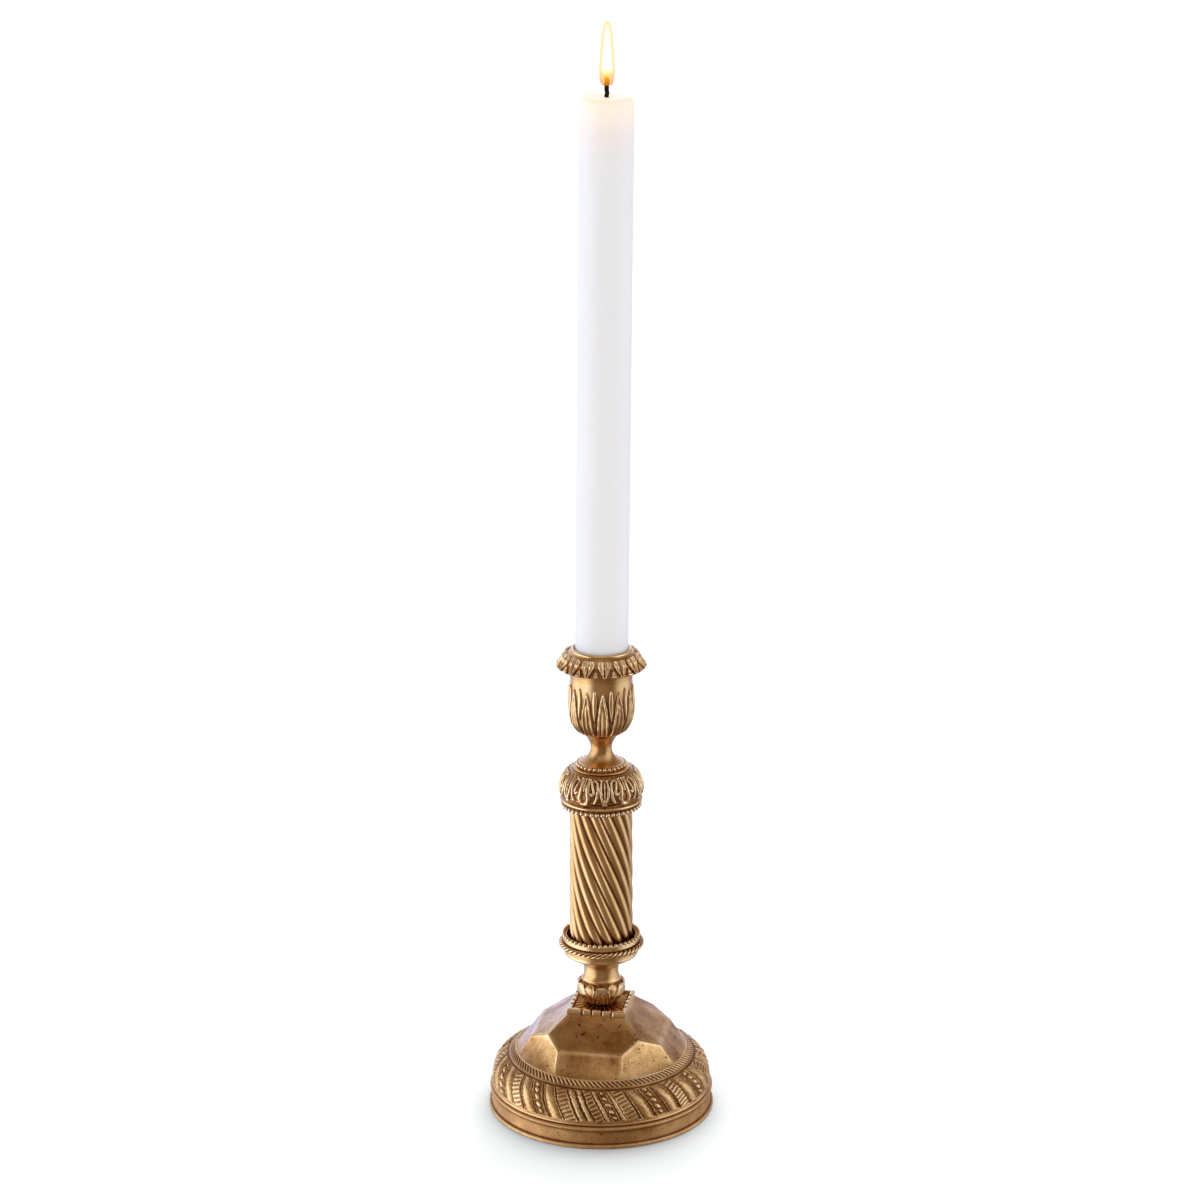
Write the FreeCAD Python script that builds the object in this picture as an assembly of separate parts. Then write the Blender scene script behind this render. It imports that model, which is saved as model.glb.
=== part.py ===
"""Turned and cast brass candlestick with its dinner candle, in millimetres.

+Z is up and the origin is the centre of the foot's underside.  The castings are threaded on one
steel tie rod, which screws into the candle cup and is pulled tight by a nut inside the base.
The nozzle lifts out of the candle cup, and the candle lifts out of the nozzle.
"""
import FreeCAD, Part
import math
import os

os.makedirs("parts", exist_ok=True)

# ---- driving dimensions ----------------------------------------------------------------------

# Heights of the joints between the stacked castings.
Z_BAND_TOP = 9.6
Z_DOME_TOP = 44.9
Z_PLINTH_TOP = 46.7
Z_KNOP_TOP = 58.1
Z_STEM_TOP = 66.2
Z_CUP_FLOOR = 73.2
Z_COLUMN_TOP = 138.0
Z_CAPITAL_TOP = 154.4
Z_CUP_STEM_TOP = 168.3
Z_CUP_RIM = 201.2
Z_NOZZLE_LIP = 206.4

# Candle, a standard 22 mm dinner candle standing in a socket 20.5 mm deep.
CANDLE_R = 11.0
CANDLE_LENGTH = 250.0
CANDLE_BOTTOM = 185.9
CANDLE_TOP = CANDLE_BOTTOM + CANDLE_LENGTH
CANDLE_LEAN = 0.5
CANDLE_CHAMFER = 0.4
WICK_R = 0.8
WICK_ABOVE_WAX = 7.1

# Nozzle: a drawn tube with a rolled lip, in a cast drip pan.
SOCKET_R = 11.35
TUBE_R = 12.05
TUBE_FLOOR = 0.8
PAN_RIM_R = 18.6
PAN_LEAVES = 15
PAN_LEAF_PHASE = 20.5

# Fluted column.
COLUMN_BORE_R = 10.5
COLUMN_TOP_R = 13.1
COLUMN_R = 13.35
COLUMN_TAPER_START = 98.0
REEDS = 16
REED_GROOVE = 0.95
TWIST_PER_MM = 2.06
REED_PHASE = 12.0
COLUMN_SECTIONS = 11
CENTRING_DISC = 3.0

# Beaded and roped rings.  Beads stay just clear of the flat faces beside them.
BEAD_GAP = 0.05
PEARLS = 46
PEARL_R = 0.8
PEARL_CIRCLE_R = 16.45
RIM_BEADS = 44
RIM_BEAD_R = 0.75
RIM_BEAD_CIRCLE_R = 15.65
FOOT_BEADS = 30
FOOT_BEAD_R = 0.65
FOOT_BEAD_CIRCLE_R = 9.95
ROPE_R = 1.15
ROPE_CIRCLE_R = 17.0

# Square plinth.
PLINTH_HALF = 12.5
BORDER_WIDTH = 1.6
BORDER_HEIGHT = 0.5
BORDER_LOBES = 7
NOTCH_R = 0.45

# Faceted dome of the base: three rings of cut faces, as slopes from the horizontal.
DOME_R = 36.6
DOME_FOOT_Z = 26.2
UPPER_SLOPE = 33.5
LOWER_SLOPE = 49.7
CORNER_SLOPE = 52.5
LOWER_FACE_TOP = (28.0, 34.7)
CORNER_FACE_TOP = (27.8, 38.3)

# Foot.
BAND_R = 47.4
BAND_FILLET_R = 48.0
LIP_R = 48.4
SPIGOT_R = 45.4
SPIGOT_BOTTOM = 2.5

# Tie rod and its hardware, M5.
ROD_R = 2.5
ROD_CLEARANCE_R = 2.7
ROD_BOTTOM = 31.5
ROD_TOP = 176.0
THREAD_PITCH = 0.8
THREAD_DEPTH = 0.45
THREAD_TURNS = 15
WASHER_R = 9.0
WASHER_BORE_R = 2.75
WASHER_THICKNESS = 1.5
LOCK_WASHER_R = 4.6
LOCK_WASHER_THICKNESS = 1.2
NUT_ACROSS_FLATS = 8.0
NUT_HEIGHT = 4.0
DOME_SEAT_Z = 41.9

ORIGIN = FreeCAD.Vector(0, 0, 0)
UP = FreeCAD.Vector(0, 0, 1)


# ---- shared shapes ---------------------------------------------------------------------------

def turned(start, *stretches):
    """Solid of revolution from an outline of (radius, height) points.

    A stretch of one point is a straight line, of two points an arc through the first of them,
    and of more points a smooth curve.  A straight line closes the outline.
    """
    first = FreeCAD.Vector(start[0], 0, start[1])
    here = first
    edges = []
    for stretch in stretches + ((start,),):
        points = [FreeCAD.Vector(radius, 0, height) for radius, height in stretch]
        if len(points) == 1:
            if here.distanceToPoint(points[0]) > 1e-6:
                edges.append(Part.LineSegment(here, points[0]).toShape())
        elif len(points) == 2:
            edges.append(Part.Arc(here, points[0], points[1]).toShape())
        else:
            curve = Part.BSplineCurve()
            curve.interpolate([here] + points)
            edges.append(curve.toShape())
        here = points[-1]
    return Part.Face(Part.Wire(edges)).revolve(ORIGIN, UP, 360)


def disc(outer, bore, bottom, height):
    """Flat disc or ring with a plain bore."""
    solid = Part.makeCylinder(outer, height, FreeCAD.Vector(0, 0, bottom))
    hole = Part.makeCylinder(bore, height, FreeCAD.Vector(0, 0, bottom))
    return solid.cut(hole)


def around(shape, count, first=0.0):
    """Copies of a shape, evenly spaced round the Z axis."""
    copies = []
    for index in range(count):
        copy = shape.copy()
        copy.rotate(ORIGIN, UP, first + 360.0 * index / count)
        copies.append(copy)
    return copies


def beads(count, bead_radius, circle_radius, height):
    """Ring of separate balls."""
    bead = Part.makeSphere(bead_radius, FreeCAD.Vector(circle_radius, 0, height))
    return around(bead, count)


def below_plane(distance, height, slope, azimuth):
    """Block that fills the space under a plane sloping down and outwards through a point."""
    size = 200.0
    block = Part.makeBox(2 * size, 2 * size, size, FreeCAD.Vector(-size, -size, -size))
    block.rotate(ORIGIN, FreeCAD.Vector(0, 1, 0), slope)
    block.translate(FreeCAD.Vector(distance, 0, height))
    block.rotate(ORIGIN, UP, azimuth)
    return block


def save(name, shape):
    """Write one named sub-part."""
    if not shape.isValid():
        raise ValueError(name + " is not a valid shape")
    shape.exportStep("parts/" + name + ".step")


# ---- candle ----------------------------------------------------------------------------------

def leaning(shape):
    """Candle piece tipped about the socket's floor, which its lower edge still rests on."""
    lift = (CANDLE_R - CANDLE_CHAMFER) * math.sin(math.radians(CANDLE_LEAN))
    tipped = shape.copy()
    tipped.rotate(FreeCAD.Vector(0, 0, CANDLE_BOTTOM), FreeCAD.Vector(0, 1, 0), CANDLE_LEAN)
    tipped.translate(FreeCAD.Vector(0, 0, lift))
    return tipped


def candle_wax():
    """Wax with a rounded shoulder, a faint melt pool and the wick's hole down its middle."""
    shoulder = 1.3
    pool_depth = 0.4
    return leaning(turned(
        (WICK_R, CANDLE_BOTTOM),
        ((CANDLE_R - CANDLE_CHAMFER, CANDLE_BOTTOM),),
        ((CANDLE_R, CANDLE_BOTTOM + CANDLE_CHAMFER),),
        ((CANDLE_R, CANDLE_TOP - shoulder),),
        ((CANDLE_R - 0.38, CANDLE_TOP - 0.38), (CANDLE_R - shoulder, CANDLE_TOP)),
        ((6.0, CANDLE_TOP - 0.75 * pool_depth), (WICK_R, CANDLE_TOP - pool_depth))))


def candle_wick():
    """Braided wick, straight through the wax and burnt to a blunt tip above it."""
    tip = CANDLE_TOP + WICK_ABOVE_WAX
    return leaning(turned(
        (0, CANDLE_BOTTOM),
        ((WICK_R, CANDLE_BOTTOM),),
        ((WICK_R, tip - 0.5),),
        ((WICK_R - 0.15, tip - 0.15), (WICK_R - 0.5, tip)),
        ((0, tip),)))


# ---- nozzle ----------------------------------------------------------------------------------

def nozzle_tube():
    """Drawn socket tube with a closed floor and a rolled lip."""
    floor_top = CANDLE_BOTTOM
    return turned(
        (0, floor_top - TUBE_FLOOR),
        ((TUBE_R, floor_top - TUBE_FLOOR),),
        ((TUBE_R, Z_NOZZLE_LIP - 1.2),),
        ((TUBE_R + 0.6, Z_NOZZLE_LIP - 0.6), (TUBE_R - 0.1, Z_NOZZLE_LIP)),
        ((SOCKET_R + 0.15, Z_NOZZLE_LIP - 0.15), (SOCKET_R, Z_NOZZLE_LIP - 0.5)),
        ((SOCKET_R, floor_top),),
        ((0, floor_top),))


def drip_pan():
    """Cast pan that slopes down to a scalloped rim and seats on the rim of the cup."""
    pan = turned(
        (TUBE_R, Z_CUP_RIM),
        ((TUBE_R, Z_NOZZLE_LIP - 1.2),),
        ((12.9, Z_NOZZLE_LIP - 1.3),),
        ((14.6, 204.1), (16.1, 202.6), (17.4, 201.0), (18.2, 199.7), (PAN_RIM_R, 198.9)),
        ((PAN_RIM_R - 0.05, 198.45), (PAN_RIM_R - 0.45, 198.3)),
        ((17.2, 199.3), (15.9, 200.5), (14.4, Z_CUP_RIM)))
    scallop = Part.makeCylinder(0.8, 8.0, FreeCAD.Vector(PAN_RIM_R + 0.45, 0, 196.0))
    first_gap = PAN_LEAF_PHASE + 180.0 / PAN_LEAVES
    return pan.cut(around(scallop, PAN_LEAVES, first_gap))


# ---- candle cup and its stem -----------------------------------------------------------------

def candle_cup():
    """Urn-shaped cup, bored for the nozzle from above and for the tie rod from below."""
    bore_r = 12.3
    bore_floor = 183.0
    return turned(
        (bore_r, Z_CUP_RIM),
        ((13.5, Z_CUP_RIM),),
        ((13.5, 198.3),),
        ((13.2, 190.3), (13.55, 186.0), (13.9, 181.5), (13.4, 177.2), (12.2, 173.2),
         (10.1, 170.4), (7.0, Z_CUP_STEM_TOP)),
        ((ROD_R, Z_CUP_STEM_TOP),),
        ((ROD_R, ROD_TOP),),
        ((0, ROD_TOP),),
        ((0, bore_floor),),
        ((bore_r - 1.4, bore_floor),),
        ((bore_r - 0.4, bore_floor + 0.4), (bore_r, bore_floor + 1.4)))


def cup_stem():
    """Waisted stem under the cup, spreading to a beaded foot."""
    stem = turned(
        (ROD_CLEARANCE_R, Z_CAPITAL_TOP),
        ((FOOT_BEAD_CIRCLE_R, Z_CAPITAL_TOP),),
        ((FOOT_BEAD_CIRCLE_R, Z_CAPITAL_TOP + 1.5),),
        ((7.2, 157.2), (5.7, 158.8), (4.66, 160.8), (4.44, 162.8), (5.0, 164.8), (6.0, 166.7),
         (6.9, Z_CUP_STEM_TOP)),
        ((ROD_CLEARANCE_R, Z_CUP_STEM_TOP),))
    height = Z_CAPITAL_TOP + FOOT_BEAD_R + BEAD_GAP
    return stem.fuse(beads(FOOT_BEADS, FOOT_BEAD_R, FOOT_BEAD_CIRCLE_R, height))


# ---- capital and column ----------------------------------------------------------------------

def capital():
    """Hollow cushion capital with a stepped top, a cove and a thin flange."""
    cavity_r = 10.0
    cavity_top = 150.5
    return turned(
        (ROD_CLEARANCE_R, Z_CAPITAL_TOP),
        ((11.7, Z_CAPITAL_TOP),),
        ((12.4, 153.8), (12.1, 153.1)),
        ((14.4, 151.9), (16.4, 149.4), (17.6, 145.2)),
        ((17.35, 143.2), (16.2, 141.5)),
        ((16.25, 140.4), (17.0, 139.6)),
        ((17.35, 139.2), (17.3, 138.6)),
        ((16.9, Z_COLUMN_TOP),),
        ((cavity_r, Z_COLUMN_TOP),),
        ((cavity_r, cavity_top),),
        ((ROD_CLEARANCE_R, cavity_top),))


def capital_pearl_ring():
    """Ring of pearls that hangs under the capital's flange."""
    bottom = Z_COLUMN_TOP - 1.2
    band = disc(PEARL_CIRCLE_R - 0.2, PEARL_CIRCLE_R - 2.2, bottom, 1.2)
    height = Z_COLUMN_TOP - PEARL_R - BEAD_GAP
    return band.fuse(beads(PEARLS, PEARL_R, PEARL_CIRCLE_R, height))


def reeded_section(radius, height, turn):
    """Closed outline of convex reeds, turned about Z."""
    step = 2 * math.pi / REEDS
    edges = []
    for index in range(REEDS):
        angles = [turn + step * (index + part) for part in (-0.5, 0.0, 0.5)]
        radii = [radius - REED_GROOVE, radius, radius - REED_GROOVE]
        points = []
        for angle, reach in zip(angles, radii):
            points.append(FreeCAD.Vector(reach * math.cos(angle), reach * math.sin(angle), height))
        edges.append(Part.Arc(*points).toShape())
    return Part.Wire(edges)


def column():
    """Slightly tapered tube of twisted reeds."""
    sections = []
    for index in range(COLUMN_SECTIONS):
        height = Z_CUP_FLOOR + (Z_COLUMN_TOP - Z_CUP_FLOOR) * index / (COLUMN_SECTIONS - 1)
        rise = max(0.0, height - COLUMN_TAPER_START) / (Z_COLUMN_TOP - COLUMN_TAPER_START)
        radius = COLUMN_R + (COLUMN_TOP_R - COLUMN_R) * rise
        turn = math.radians(REED_PHASE - TWIST_PER_MM * (height - Z_CUP_FLOOR))
        sections.append(reeded_section(radius, height, turn))
    reeded = Part.makeLoft(sections, True, False)
    length = Z_COLUMN_TOP - Z_CUP_FLOOR
    bore = Part.makeCylinder(COLUMN_BORE_R, length, FreeCAD.Vector(0, 0, Z_CUP_FLOOR))
    return reeded.cut(bore)


def centring_disc(bottom):
    """Disc that keeps the tie rod in the middle of the column."""
    return disc(COLUMN_BORE_R, ROD_CLEARANCE_R, bottom, CENTRING_DISC)


# ---- collar, rope and lower stem -------------------------------------------------------------

def column_cup():
    """Shallow cup round the column's foot, with a beaded rim and a seat for the rope ring."""
    inner_r = 14.8
    rim_z = 78.4
    seat_r = ROPE_CIRCLE_R - ROPE_R
    cup = turned(
        (ROD_CLEARANCE_R, Z_STEM_TOP),
        ((8.2, Z_STEM_TOP),),
        ((11.0, 67.3), (15.2, 69.5)),
        ((15.75, 70.2), (15.6, 71.2)),
        ((15.65, 72.3), (seat_r, 73.2)),
        ((seat_r, 75.6),),
        ((16.5, 76.0),),
        ((16.5, rim_z),),
        ((inner_r, rim_z),),
        ((inner_r, Z_CUP_FLOOR),),
        ((ROD_CLEARANCE_R, Z_CUP_FLOOR),))
    return cup.fuse(beads(RIM_BEADS, RIM_BEAD_R, RIM_BEAD_CIRCLE_R, rim_z))


def rope_ring():
    """Ring of twisted wire round the collar, here as its envelope."""
    return Part.makeTorus(ROPE_CIRCLE_R, ROPE_R, FreeCAD.Vector(0, 0, 74.4))


def lower_stem():
    """Plain waisted spool."""
    return turned(
        (ROD_CLEARANCE_R, Z_KNOP_TOP),
        ((8.3, Z_KNOP_TOP),),
        ((7.36, 61.6), (8.2, Z_STEM_TOP)),
        ((ROD_CLEARANCE_R, Z_STEM_TOP),))


def leaf_knop():
    """Bud-shaped knop standing on the plinth."""
    return turned(
        (ROD_CLEARANCE_R, Z_PLINTH_TOP),
        ((5.2, Z_PLINTH_TOP),),
        ((7.4, 48.3), (9.4, 51.8), (10.05, 55.0), (9.5, 57.0), (8.35, Z_KNOP_TOP)),
        ((ROD_CLEARANCE_R, Z_KNOP_TOP),))


# ---- plinth and base -------------------------------------------------------------------------

def square_plinth():
    """Square plate with a raised border, notched into lobes."""
    side = 2 * PLINTH_HALF
    corner = FreeCAD.Vector(-PLINTH_HALF, -PLINTH_HALF, Z_DOME_TOP)
    height = Z_PLINTH_TOP - Z_DOME_TOP + BORDER_HEIGHT
    plate = Part.makeBox(side, side, height, corner)
    inside = side - 2 * BORDER_WIDTH
    recess_corner = FreeCAD.Vector(-inside / 2, -inside / 2, Z_PLINTH_TOP)
    cutters = [Part.makeBox(inside, inside, BORDER_HEIGHT, recess_corner)]
    for lobe in range(1, BORDER_LOBES):
        offset = -PLINTH_HALF + side * lobe / BORDER_LOBES
        start = FreeCAD.Vector(PLINTH_HALF - BORDER_WIDTH - 0.1, offset, Z_PLINTH_TOP + BORDER_HEIGHT)
        notch = Part.makeCylinder(NOTCH_R, BORDER_WIDTH + 0.2, start, FreeCAD.Vector(1, 0, 0))
        cutters += around(notch, 4)
    bore = Part.makeCylinder(ROD_CLEARANCE_R, height, FreeCAD.Vector(0, 0, Z_DOME_TOP))
    return plate.cut(cutters + [bore])


def faceted_dome():
    """Dome cut into four upper faces, four lower ones and four corner ones."""
    base = FreeCAD.Vector(0, 0, DOME_FOOT_Z - 2.0)
    dome = Part.makeCylinder(DOME_R, Z_DOME_TOP - DOME_FOOT_Z + 2.0, base)
    for quarter in range(4):
        side = 90.0 * quarter
        planes = [below_plane(PLINTH_HALF + 0.1, Z_DOME_TOP, UPPER_SLOPE, side),
                  below_plane(*LOWER_FACE_TOP, LOWER_SLOPE, side),
                  below_plane(*CORNER_FACE_TOP, CORNER_SLOPE, side + 45.0)]
        for plane in planes:
            dome = dome.common(plane)
    return dome


def base_casting():
    """Hollow casting: faceted dome, cord moulding and swelling border over a spigot."""
    border = turned(
        (0, SPIGOT_BOTTOM),
        ((SPIGOT_R, SPIGOT_BOTTOM),),
        ((SPIGOT_R, Z_BAND_TOP),),
        ((47.0, Z_BAND_TOP),),
        ((46.8, 13.0), (46.0, 17.5), (43.8, 21.2), (39.8, 23.6)),
        ((38.6, 25.3), (DOME_R, DOME_FOOT_Z)),
        ((0, DOME_FOOT_Z),))
    outside = border.fuse(faceted_dome())
    inside = turned(
        (0, SPIGOT_BOTTOM - 1.0),
        ((SPIGOT_R - 1.6, SPIGOT_BOTTOM - 1.0),),
        ((SPIGOT_R - 1.6, 11.0),),
        ((43.0, 16.5), (39.0, 20.6)),
        ((33.2, 24.2),),
        ((26.6, 32.4),),
        ((13.0, DOME_SEAT_Z),),
        ((0, DOME_SEAT_Z),))
    bore = Part.makeCylinder(ROD_CLEARANCE_R, 10.0, FreeCAD.Vector(0, 0, DOME_SEAT_Z - 1.0))
    return outside.cut([inside, bore])


def foot_band():
    """Plain turned band round the spigot, with a rounded top edge and a foot lip."""
    return turned(
        (SPIGOT_R, 0),
        ((LIP_R - 0.4, 0),),
        ((LIP_R, 0.8), (LIP_R - 0.4, 1.7)),
        ((BAND_R, 2.0),),
        ((BAND_R, 7.9),),
        ((BAND_FILLET_R, 8.7), (BAND_R - 0.2, Z_BAND_TOP)),
        ((SPIGOT_R, Z_BAND_TOP),))


# ---- tie rod and its hardware ----------------------------------------------------------------

def tie_rod():
    """M5 steel rod; parallel grooves at its lower end stand for the thread."""
    rod = Part.makeCylinder(ROD_R, ROD_TOP - ROD_BOTTOM, FreeCAD.Vector(0, 0, ROD_BOTTOM))
    grooves = []
    for turn in range(THREAD_TURNS):
        root = ROD_BOTTOM + THREAD_PITCH * (turn + 0.5)
        crest = 0.5 * THREAD_PITCH - 0.05
        grooves.append(turned(
            (ROD_R + 0.1, root - crest),
            ((ROD_R - THREAD_DEPTH, root),),
            ((ROD_R + 0.1, root + crest),)))
    return rod.cut(grooves)


def rod_washer():
    """Wide plate washer that spreads the pull over the dome's seat."""
    return disc(WASHER_R, WASHER_BORE_R, DOME_SEAT_Z - WASHER_THICKNESS, WASHER_THICKNESS)


def lock_washer():
    """Split spring washer."""
    bottom = DOME_SEAT_Z - WASHER_THICKNESS - LOCK_WASHER_THICKNESS
    ring = disc(LOCK_WASHER_R, WASHER_BORE_R, bottom, LOCK_WASHER_THICKNESS)
    split = Part.makeBox(LOCK_WASHER_R, 0.8, 4.0, FreeCAD.Vector(0, -0.4, bottom - 1.0))
    split.rotate(FreeCAD.Vector(0, 0, bottom + 0.6), FreeCAD.Vector(1, 0, 0), 20)
    return ring.cut(split)


def rod_nut():
    """Hexagon nut with chamfered corners."""
    top = DOME_SEAT_Z - WASHER_THICKNESS - LOCK_WASHER_THICKNESS
    bottom = top - NUT_HEIGHT
    corner_r = NUT_ACROSS_FLATS / math.sqrt(3)
    corners = []
    for index in range(7):
        angle = math.radians(60 * index)
        corners.append(FreeCAD.Vector(corner_r * math.cos(angle), corner_r * math.sin(angle), bottom))
    prism = Part.Face(Part.makePolygon(corners)).extrude(FreeCAD.Vector(0, 0, NUT_HEIGHT))
    flat_r = NUT_ACROSS_FLATS / 2
    chamfer = turned(
        (ROD_R, bottom),
        ((flat_r, bottom),),
        ((corner_r + 0.1, bottom + 0.4),),
        ((corner_r + 0.1, top - 0.4),),
        ((flat_r, top),),
        ((ROD_R, top),))
    return prism.common(chamfer)


# ---- write every sub-part --------------------------------------------------------------------

PIECES = {
    "candle_wax": candle_wax(),
    "candle_wick": candle_wick(),
    "nozzle_tube": nozzle_tube(),
    "drip_pan": drip_pan(),
    "candle_cup": candle_cup(),
    "cup_stem": cup_stem(),
    "capital": capital(),
    "capital_pearl_ring": capital_pearl_ring(),
    "column": column(),
    "upper_centring_disc": centring_disc(Z_COLUMN_TOP - CENTRING_DISC),
    "lower_centring_disc": centring_disc(Z_CUP_FLOOR),
    "column_cup": column_cup(),
    "rope_ring": rope_ring(),
    "lower_stem": lower_stem(),
    "leaf_knop": leaf_knop(),
    "square_plinth": square_plinth(),
    "base_casting": base_casting(),
    "foot_band": foot_band(),
    "tie_rod": tie_rod(),
    "rod_washer": rod_washer(),
    "lock_washer": lock_washer(),
    "rod_nut": rod_nut(),
}

for piece_name, piece_shape in PIECES.items():
    save(piece_name, piece_shape)
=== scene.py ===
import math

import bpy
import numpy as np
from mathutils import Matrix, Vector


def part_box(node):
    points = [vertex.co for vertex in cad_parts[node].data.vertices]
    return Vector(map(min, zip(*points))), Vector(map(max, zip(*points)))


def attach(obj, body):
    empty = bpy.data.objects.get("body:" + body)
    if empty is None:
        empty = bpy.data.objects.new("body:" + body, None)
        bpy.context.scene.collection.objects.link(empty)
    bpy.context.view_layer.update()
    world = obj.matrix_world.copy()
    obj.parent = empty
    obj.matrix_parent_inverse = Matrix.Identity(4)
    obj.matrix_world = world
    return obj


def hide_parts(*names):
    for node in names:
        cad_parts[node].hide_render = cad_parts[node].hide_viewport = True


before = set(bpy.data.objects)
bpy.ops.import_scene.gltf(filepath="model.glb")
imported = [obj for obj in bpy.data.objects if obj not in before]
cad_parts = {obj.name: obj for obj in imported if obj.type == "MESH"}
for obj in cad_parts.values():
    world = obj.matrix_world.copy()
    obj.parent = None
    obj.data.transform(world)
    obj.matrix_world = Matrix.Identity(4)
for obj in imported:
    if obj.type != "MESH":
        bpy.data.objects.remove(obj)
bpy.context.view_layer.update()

# Brass candlestick with a lit candle: its visible shapes, finishes, light and camera.
#
# Shapes are worked out in millimetres and degrees and scaled to metres as they become pieces.
# Outlines are (radius, height) points, with heights above the bottom of the part they stand for.
# A shape's grid has one row for each outline point and one column for each angle round Z.

MM = 0.001

# ---- how often the ornament repeats, and where it starts, in degrees round Z ----
# The reeds turn by REED_TWIST for each millimetre of height.

PAN_LEAVES, PAN_PHASE = 15, 20.5
URN_LEAVES, URN_PHASE = 12, 13.0
PALMETTES, PALMETTE_PHASE = 6, 45.0
REEDS, REED_PHASE, REED_TWIST = 16, 11.95, -2.06
PETALS, PETAL_PHASE = 6, 40.0
RIM_BEADS = 44
FOOT_BEADS = 30
PEARLS = 46
ROPE_STRANDS, ROPE_TURNS = 3, 15
CORD_BARS = 120
BORDER_REPEATS, BORDER_PHASE, BORDER_SLANT = 11, -66.9, 9.5

# ---- measures shared by the shapes ----

ROD_BORE = 2.7
SHARP_EDGE = 52.0
CANDLE_LEAN = 0.5
CANDLE_R = 11.15
CANDLE_FOOT_R = 10.6
CANDLE_LENGTH = 250.0
WICK_R = 0.8
WICK_HEIGHT = 7.1
FLAME_BOTTOM, FLAME_TOP = 4.4, 29.7

# ---- camera ----

VIEW_AZIMUTH = 10.0
VIEW_PITCH = 16.9
VIEW_DISTANCE = 1.3565
VIEW_HEIGHT = 0.639
VIEW_LENS = 102.55
VIEW_PAN = 0.022


# ---- small sums ----

def ease(low, high, value):
    """0 below low, 1 above high and smooth between them."""
    part = np.clip((value - low) / (high - low), 0.0, 1.0)
    return part * part * (3 - 2 * part)


def ridge(distance, width):
    """Rounded ridge of height 1 along distance 0."""
    return np.exp(-(distance / width) ** 2)


def around(columns):
    """Even angles round Z, as a row of degrees."""
    return np.arange(columns)[None, :] * 360.0 / columns


def from_nearest(angle, count, phase):
    """How far an angle is from the nearest of count even marks, from -1 to 1 half way on."""
    half = 180.0 / count
    return ((angle - phase + half) % (2 * half)) / half - 1


def uneven(angle, way):
    """Slow irregularity from about -1 to 1, with nothing random in it."""
    waves = ((17, 5.1, 0.3), (29, -9.7, 1.7), (43, 14.3, 4.1), (71, -23.0, 2.2), (97, 31.0, 0.9))
    return sum(np.sin(np.radians(angle * count) + fall * way + start)
               for count, fall, start in waves) / 3


def along(points, rows):
    """rows points, evenly spaced, on a line or on a smooth curve through the points."""
    per_span = 12
    knots = np.array(points, float)
    if len(knots) > 2:
        knots = np.concatenate([[2 * knots[0] - knots[1]], knots, [2 * knots[-1] - knots[-2]]])
        t = np.linspace(0, 1, per_span, endpoint=False)[:, None]
        curve = []
        for a, b, c, d in zip(knots, knots[1:], knots[2:], knots[3:]):
            curve.append(0.5 * (2 * b + (c - a) * t + (2 * a - 5 * b + 4 * c - d) * t ** 2
                                + (3 * b - a - 3 * c + d) * t ** 3))
        knots = np.concatenate(curve + [knots[-2:-1]])
    steps = np.linalg.norm(np.diff(knots, axis=0), axis=1)
    travelled = np.concatenate([[0.0], np.cumsum(steps)])
    wanted = np.linspace(0, travelled[-1], rows)
    return np.stack([np.interp(wanted, travelled, knots[:, axis]) for axis in (0, 1)], axis=1)


def convexity(grid, reach):
    """How far each point of a grid stands proud of its neighbourhood, in units of reach."""
    passes, pace, falloff = 10, 0.24, 0.6
    blurred = grid.copy()
    for _ in range(passes):
        pull = np.zeros_like(blurred)
        for axis in (0, 1):
            for shift in (1, -1):
                step = np.roll(blurred, shift, axis) - blurred
                weight = np.exp(-np.sum(step ** 2, axis=2, keepdims=True) / falloff)
                pull += weight * step
        blurred += pace * pull
    down = np.roll(grid, -1, 0) - np.roll(grid, 1, 0)
    across = np.roll(grid, -1, 1) - np.roll(grid, 1, 1)
    normal = np.cross(down, across)
    normal /= np.linalg.norm(normal, axis=2, keepdims=True) + 1e-9
    return np.sum((grid - blurred) * normal, axis=2) / reach


# ---- shapes ----

class Shape:
    """Points in millimetres, faces, and a tone from -1 in a recess to 1 on a worn edge; low tones are
    patina and painted shade.
    """

    def __init__(self, points, faces, tone):
        self.points = np.asarray(points, float)
        self.faces = [tuple(face) for face in faces]
        self.tone = np.asarray(tone, float)

    def add(self, other):
        """Takes in another shape, and gives back the two as one."""
        start = len(self.points)
        self.points = np.concatenate([self.points, other.points])
        self.tone = np.concatenate([self.tone, other.tone])
        self.faces += [tuple(start + corner for corner in face) for face in other.faces]
        return self


def joined(shapes):
    """All the shapes as one."""
    first, *others = shapes
    for other in others:
        first.add(other)
    return first


def grid_faces(rows, columns):
    """Corners of each face of a grid whose rows and columns both close on themselves."""
    number = np.arange(rows * columns).reshape(rows, columns)
    below = np.roll(number, -1, 0)
    return np.stack([number, below, np.roll(below, -1, 1), np.roll(number, -1, 1)], axis=2)


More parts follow.
